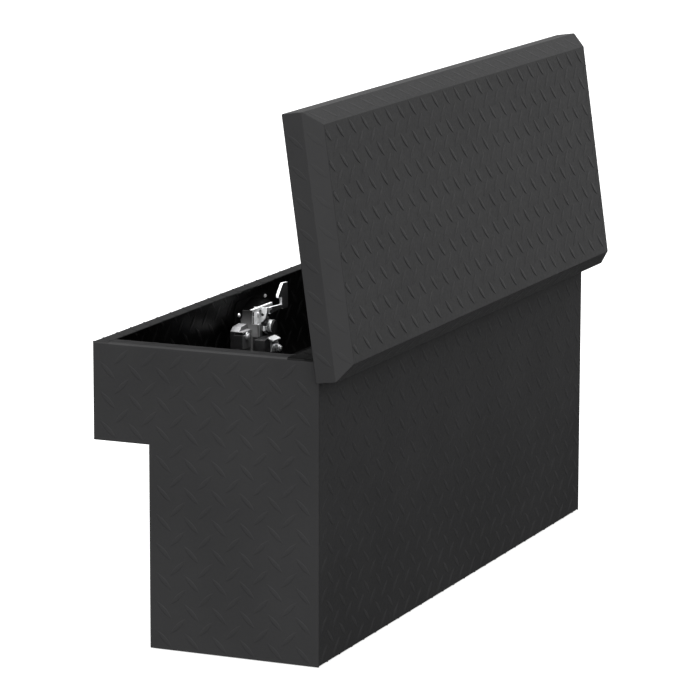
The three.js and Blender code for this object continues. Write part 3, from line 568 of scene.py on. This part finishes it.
def body_treads():
    def tread(name, at, regions, phase, holes=(), height=BAR_HEIGHT, finish=None):
        made = Treads(height)
        made.panel(at, regions, phase, holes)
        made.piece(name, "box", finish or (COAT_IN_PAINTED_SHADE if name.endswith(("inside", "floor")) else COAT_OUT))

    dish = (-0.088, 0.088, 0.37, 0.494)
    end_regions = [
        (LOWER_X + EDGE, HINGE_X - EDGE, EDGE, LEDGE_Z + EDGE),
        (LATCH_X + EDGE, HINGE_X - EDGE, LEDGE_Z + EDGE, TOP - EDGE),
    ]
    upright, level = (PHASE_Y, PHASE_Z), (PHASE_Y, PHASE_X)
    latch_wall = plane((LATCH_X, 0, 0), Y, Z, BACK_X)
    tread("treads_latch_wall", latch_wall, [(Y0, Y1, LEDGE_Z + EDGE, TOP - EDGE)], upright, [dish])
    ledge = plane((0, 0, LEDGE_Z), Y, X, DOWN)
    tread("treads_ledge_underside", ledge, [(Y0, Y1, LATCH_X + EDGE, LOWER_X - EDGE)], level)
    lower_wall = plane((LOWER_X, 0, 0), Y, Z, BACK_X)
    tread("treads_lower_wall", lower_wall, [(Y0, Y1, EDGE, LEDGE_Z - EDGE)], upright)
    underside = plane((0, 0, 0), Y, X, DOWN)
    tread("treads_underside", underside, [(Y0, Y1, LOWER_X + EDGE, HINGE_X - EDGE)], level)
    outside = plane((HINGE_X, 0, 0), Y, Z, X)
    tread("treads_hinge_wall", outside, [(Y0, Y1, EDGE, 0.462)], upright, (), LOW_BAR_HEIGHT, COAT_WALL_PAINTED_SHADE)
    end_phase = (PHASE_X + 0.0265, PHASE_Z - 0.0246)
    for end, y, out in (("near", NEAR_Y, BACK_Y), ("far", FAR_Y, Y)):
        face = plane((0, y, 0), X, Z, out)
        tread("treads_end_" + end, face, end_regions, end_phase, height=LOW_BAR_HEIGHT)
    # inner faces
    in_x = (LATCH_X + SHEET, LOWER_X + SHEET, HINGE_X - SHEET)
    floor = LEDGE_Z + SHEET
    back_plate = (-0.072, 0.072, 0.381, 0.483)
    corner = 0.006  # bars stop this far from an inside corner
    face, region = plane((in_x[0], 0, 0), Y, Z, X), (Y0, Y1, floor + EDGE, TOP - 0.004)
    tread("treads_latch_wall_inside", face, [region], (PHASE_Y, PHASE_Z + 0.015), [back_plate])
    face, region = plane((0, 0, floor), Y, X, Z), (Y0, Y1, LATCH_X + corner, LOWER_X - EDGE)
    tread("treads_ledge_floor", face, [region], level)
    face, region = plane((in_x[1], 0, 0), Y, Z, X), (Y0, Y1, corner, LEDGE_Z - EDGE)
    tread("treads_lower_wall_inside", face, [region], upright)
    face, region = plane((0, 0, SHEET), Y, X, Z), (Y0, Y1, LOWER_X + corner, HINGE_X - corner)
    tread("treads_floor", face, [region], level)
    face, region = plane((in_x[2], 0, 0), Y, Z, BACK_X), (Y0, Y1, corner, TOP - 0.008)
    tread("treads_hinge_wall_inside", face, [region], upright)
    inner_end = [
        (LOWER_X + 0.005, HINGE_X - 0.005, 0.005, floor + 0.002),
        (LATCH_X + 0.005, HINGE_X - 0.005, floor + 0.002, TOP - 0.010),
    ]
    bracket = (-0.205, -0.125, 0.335, 0.405)
    tread("treads_end_near_inside", plane((0, NEAR_Y + SHEET, 0), X, Z, Y), inner_end, (PHASE_X, PHASE_Z))
    far_inside = plane((0, FAR_Y - SHEET, 0), X, Z, BACK_Y)
    tread("treads_end_far_inside", far_inside, inner_end, (PHASE_X, PHASE_Z), [bracket])
    # rim flanges
    rim = Treads(RIM_BAR_HEIGHT)
    top = plane((0, 0, TOP), Y, X, Z)
    rim.panel(top, [(Y0, Y1, LATCH_X + EDGE, LATCH_X + RIM - 0.001)], (PHASE_Y, LATCH_X + 0.014), flip=True)
    flange = Treads(RIM_BAR_HEIGHT)
    region = (Y0 + 0.026, Y1 - 0.078, HINGE_X - HINGE_FLANGE + 0.004, HINGE_X - EDGE)
    flange.panel(top, [region], (PHASE_Y, HINGE_X - 0.016))
    flange.piece("treads_hinge_flange", "box", COAT_RIM_PAINTED_SHADOW)
    for y0, y1 in ((NEAR_Y + EDGE, NEAR_Y + RIM - 0.001), (FAR_Y - RIM + 0.001, FAR_Y - EDGE)):
        rim.panel(top, [(y0, y1, LATCH_X + RIM + 0.001, HINGE_X - 0.026)], ((y0 + y1) / 2, PHASE_X + 0.02))
    rim.piece("treads_rim", "box", COAT_RIM)


def lid_treads():
    half = LID_LENGTH / 2
    flat = Treads(LID_BAR_HEIGHT)
    place = plane((0, 0, LID_TOP_Z), Y, X, Z, LID_TURN)
    inset = LID_INSET + 0.003
    region = (-half + inset, half - inset, LID_LEFT + inset, LID_RIGHT - inset)
    flat.panel(place, [region], (PHASE_Y, LID_LEFT + LID_INSET + 0.0155))
    flat.piece("treads_lid_top", "lid", COAT_LID_BARS)
    slope = math.hypot(LID_INSET, LID_BEVEL)
    c, s = LID_INSET / slope, LID_BEVEL / slope
    bevels = Treads(FAINT_BAR_HEIGHT)
    skirt_top = LID_SKIRT_Z + LID_SKIRT
    band = (0.002, slope - 0.002)
    middle = slope / 2
    long_band = (-half + 0.020, half - 0.020, *band)
    cross_band = (LID_LEFT + 0.020, LID_RIGHT - 0.020, *band)
    for side, x in ((1, LID_LEFT), (-1, LID_RIGHT)):
        face = plane((x, 0, skirt_top), Y, (side * c, 0, s), (-side * s, 0, c), LID_TURN)
        bevels.panel(face, [long_band], (PHASE_Y, middle))
    for side, y in ((1, -half), (-1, half)):
        face = plane((0, y, skirt_top), X, (0, side * c, s), (0, -side * s, c), LID_TURN)
        bevels.panel(face, [cross_band], (PHASE_X, middle))
    bevels.piece("treads_lid_bevels", "lid", COAT_LID_BARS)
    skirts = Treads(FAINT_BAR_HEIGHT)
    band = (LID_SKIRT_Z + 0.002, skirt_top - 0.002)
    middle = LID_SKIRT_Z + LID_SKIRT / 2
    along = (-half + 0.003, half - 0.003, *band)
    cross = (LID_LEFT + 0.003, LID_RIGHT - 0.003, *band)
    skirts.panel(plane((LID_LEFT, 0, 0), Y, Z, BACK_X, LID_TURN), [along], (PHASE_Y, middle))
    skirts.panel(plane((LID_RIGHT, 0, 0), Y, Z, X, LID_TURN), [along], (PHASE_Y, middle))
    skirts.panel(plane((0, -half, 0), X, Z, BACK_Y, LID_TURN), [cross], (PHASE_X, middle))
    skirts.panel(plane((0, half, 0), X, Z, Y, LID_TURN), [cross], (PHASE_X, middle))
    skirts.piece("treads_lid_skirts", "lid", COAT_LID_BARS)


body_treads()
lid_treads()

# ---------------------------------------------------------------- small hardware
def swept(path, radius, sides=10):
    """A round wire along a path of points, closed at both ends."""
    verts, faces = [], []
    for i, point in enumerate(path):
        along = (path[min(i + 1, len(path) - 1)] - path[max(i - 1, 0)]).normalized()
        side = along.cross(Vector(X)).normalized()
        other = along.cross(side)
        for k in range(sides):
            a = 2 * math.pi * k / sides
            verts.append(point + radius * (math.cos(a) * side + math.sin(a) * other))
    for i in range(len(path) - 1):
        for k in range(sides):
            a, b = i * sides + k, i * sides + (k + 1) % sides
            faces.append((a, b, b + sides, a + sides))
    faces.append(tuple(reversed(range(sides))))
    faces.append(tuple(len(verts) - sides + k for k in range(sides)))
    return verts, faces


def turned(profile, place, sides=20):
    """A solid of revolution. profile holds (radius, along) end to end, and place takes (along, a, b)."""
    verts, faces = [], []
    for radius, along in profile:
        for k in range(sides):
            a = 2 * math.pi * k / sides
            verts.append(place(along, radius * math.cos(a), radius * math.sin(a)))
    for i in range(len(profile) - 1):
        for k in range(sides):
            a, b = i * sides + k, i * sides + (k + 1) % sides
            faces.append((a, b, b + sides, a + sides))
    faces.append(tuple(reversed(range(sides))))
    faces.append(tuple(len(verts) - sides + k for k in range(sides)))
    return verts, faces


COIL_WIRE = 0.0007
COIL_TURNS = 4


def return_spring():
    """A wound spring in place of the plain sleeve."""
    low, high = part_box("hook_return_spring")
    y, z = (low[1] + high[1]) / 2, (low[2] + high[2]) / 2
    reach = (high[1] - low[1]) / 2 - COIL_WIRE
    x0, x1 = low[0] + COIL_WIRE, high[0] - COIL_WIRE
    steps = COIL_TURNS * 20
    path = []
    for i in range(steps + 1):
        a = 2 * math.pi * COIL_TURNS * i / steps
        path.append(Vector((x0 + (x1 - x0) * i / steps, y + reach * math.cos(a), z + reach * math.sin(a))))
    verts, faces = swept(path, COIL_WIRE)
    smooth = [True] * (len(faces) - 2) + [False] * 2
    made = new_piece("hook_return_spring_coil", verts, faces, STEEL, "box", smooth)
    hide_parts("hook_return_spring")


def dome(radius, height, steps=5):
    """The profile of a round rivet head."""
    rim = [(radius * 0.96, -0.0001), (radius, height * 0.12)]
    arc = []
    for i in range(1, steps):
        a = math.pi / 2 * i / steps
        arc.append((radius * math.cos(a), height * (0.12 + 0.88 * math.sin(a))))
    return rim + arc + [(radius * 0.04, height)]


HINGE_RIVET_PITCH = 0.150
HINGE_LEAF = 0.0015
EAR_FRONT = -0.0495


def hinge_rivets():
    low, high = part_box("hinge_body_leaf")
    z = low[2] + (high[2] - low[2]) * 0.6
    wall = HINGE_X + HINGE_LEAF
    count = round((high[1] - low[1]) / HINGE_RIVET_PITCH)
    verts, faces = [], []
    for i in range(count):
        y = low[1] + (high[1] - low[1]) * (i + 0.5) / count
        v, f = turned(dome(0.0042, 0.0016), lambda along, a, b: (wall + along, y + a, z + b), 14)
        faces += [tuple(n + len(verts) for n in face) for face in f]
        verts += v
    new_piece("hinge_rivet_heads", verts, faces, STEEL, "box", [True] * len(faces))


def ear_button():
    """The bright button beside the ear's slot."""
    verts, faces = turned(
        dome(1.0, 0.0012),
        lambda along, a, b: (LATCH_X + 0.0388 + 0.0022 * a, EAR_FRONT - along, TOP - 0.0478 + 0.0043 * b),
        18,
    )
    new_piece("ear_button", verts, faces, CHROME, "box", [True] * len(faces))


return_spring()
hinge_rivets()
ear_button()

# ---------------------------------------------------------------- floor, light and camera
def floor():
    """A pale plain floor that takes no part in the light."""
    mesh = bpy.data.meshes.new("studio_floor")
    size, z = 14.0, -0.0018
    corners = [(-size, -size, z), (size, -size, z), (size, size, z), (-size, size, z)]
    mesh.from_pydata(corners, [], [(0, 1, 2, 3)])
    made = bpy.data.objects.new("studio_floor", mesh)
    bpy.context.scene.collection.objects.link(made)
    material, tree, shader = node_material("pale_floor")
    at = tree.nodes.new("ShaderNodeTexCoord").outputs["Object"]
    tone = ramp(tree, noise(tree, at, 2.0), [(0.2, (0.90, 0.90, 0.90)), (0.8, (0.92, 0.92, 0.92))])
    tree.links.new(tone, shader.inputs["Base Color"])
    tree.links.new(tone, shader.inputs["Emission Color"])
    shader.inputs["Emission Strength"].default_value = 0.8
    shader.inputs["Roughness"].default_value = 0.9
    shader.inputs["Specular IOR Level"].default_value = 0.0
    mesh.materials.append(material)
    made.visible_diffuse = made.visible_glossy = made.visible_shadow = False


def area_light(name, place, towards, size, power, lit):
    """A light that falls only on the listed objects. The second measure of its size is the one along Y."""
    data = bpy.data.lights.new(name, "AREA")
    data.shape = "RECTANGLE"
    data.size, data.size_y = size
    data.energy = power
    made = bpy.data.objects.new(name, data)
    made.location = place
    made.rotation_mode = "QUATERNION"
    back = (Vector(place) - Vector(towards)).normalized()
    side = Vector(Y).cross(back).normalized()
    made.rotation_quaternion = Matrix((side, back.cross(side), back)).transposed().to_quaternion()
    made.visible_camera = False
    bpy.context.scene.collection.objects.link(made)
    made.light_linking.receiver_collection = bpy.data.collections.new(name + "_falls_on")
    for piece in lit:
        made.light_linking.receiver_collection.objects.link(piece)


def direction(elevation, azimuth):
    """azimuth is counted from +X towards +Y."""
    e, a = math.radians(elevation), math.radians(azimuth)
    return Vector((math.cos(e) * math.cos(a), math.cos(e) * math.sin(a), math.sin(e)))


LATCH_NODES = (
    "latch_frame",
    "latch_hook",
    "hook_pivot_pin",
    "pawl",
    "pawl_pivot_pin",
    "release_lever",
    "lever_bolt",
    "latch_case",
    "stop_block",
    "block_bolt",
    "spindle",
    "spindle_housing",
    *("dish_rivet_" + str(i) for i in range(1, 5)),
)
SKY = 0.57
GLOWS = ((direction(35, 270), 0.85), (direction(35, 315), 0.47))


def studio():
    """A white backdrop. The light is a dim sky with two broad glows, in front and to the right."""
    world = bpy.data.worlds.new("studio")
    bpy.context.scene.world = world
    world.use_nodes = True
    tree = world.node_tree
    back = tree.nodes["Background"]
    back.inputs["Color"].default_value = (1, 1, 1, 1)
    towards = tree.nodes.new("ShaderNodeTexCoord").outputs["Generated"]
    split = tree.nodes.new("ShaderNodeSeparateXYZ")
    tree.links.new(towards, split.inputs[0])
    sky = tree.nodes.new("ShaderNodeMapRange")
    sky.inputs["From Min"].default_value = -0.20
    sky.inputs["From Max"].default_value = -0.10
    sky.inputs["To Max"].default_value = SKY
    tree.links.new(split.outputs["Z"], sky.inputs["Value"])
    total = sky.outputs["Result"]
    for towards_glow, amount in GLOWS:
        facing = tree.nodes.new("ShaderNodeVectorMath")
        facing.operation = "DOT_PRODUCT"
        tree.links.new(towards, facing.inputs[0])
        facing.inputs[1].default_value = towards_glow
        front = calculate(tree, facing.outputs["Value"], "MAXIMUM", 0.0)
        glow = calculate(tree, calculate(tree, front, "POWER", 2.0), "MULTIPLY", amount)
        total = combine(tree, "ADD", total, glow)
    path = tree.nodes.new("ShaderNodeLightPath")
    strength = tree.nodes.new("ShaderNodeMix")
    strength.data_type = "FLOAT"
    strength.inputs[3].default_value = 1.0
    tree.links.new(path.outputs["Is Camera Ray"], strength.inputs[0])
    tree.links.new(total, strength.inputs[2])
    tree.links.new(strength.outputs[0], back.inputs["Strength"])
    latch = [frame["nodes"][name] for name in LATCH_NODES]
    latch += [bpy.data.objects[name] for name in ("ear_button", "hook_return_spring_coil")]
    area_light("latch_light", (-0.205, -0.070, 0.640), (-0.212, -0.030, 0.46), (0.06, 0.16), 1.5, latch)
    lid = [frame["nodes"]["lid_outer_shell"]]
    lid += [bpy.data.objects["treads_lid_" + name] for name in ("top", "bevels", "skirts")]
    area_light("lid_bounce", (0.28, 0.8, 0.03), (0.24, 0.8, 0.46), (0.10, 2.8), 0.42, lid)
    rivets = [frame["nodes"]["dish_rivet_1"], frame["nodes"]["dish_rivet_2"]]
    area_light("rivet_light", (-0.165, -0.03, 0.61), (-0.247, 0.0, 0.466), (0.04, 0.04), 0.4, rivets)


CAMERA_AT = (2.6252, -6.1861, 1.7076)
CAMERA_ANGLES = (23.4486, 10.9727, 0.1333)  # azimuth, elevation and roll in degrees
CAMERA_LENS = 200.41


def camera():
    azimuth, elevation, roll = (math.radians(a) for a in CAMERA_ANGLES)
    level = math.cos(elevation)
    back = Vector((math.sin(azimuth) * level, -math.cos(azimuth) * level, math.sin(elevation)))
    right = Vector((0, 0, 1)).cross(back).normalized()
    up = back.cross(right)
    x = math.cos(roll) * right + math.sin(roll) * up
    y = math.cos(roll) * up - math.sin(roll) * right
    data = bpy.data.cameras.new("camera")
    data.lens = CAMERA_LENS
    data.sensor_width = 36.0
    data.clip_start, data.clip_end = 0.1, 60
    made = bpy.data.objects.new("camera", data)
    turn = Matrix((x, y, back)).transposed().to_4x4()
    made.matrix_world = Matrix.Translation(CAMERA_AT) @ turn
    bpy.context.scene.collection.objects.link(made)
    bpy.context.scene.camera = made


floor()
studio()
camera()
bpy.context.scene.view_settings.view_transform = "Standard"
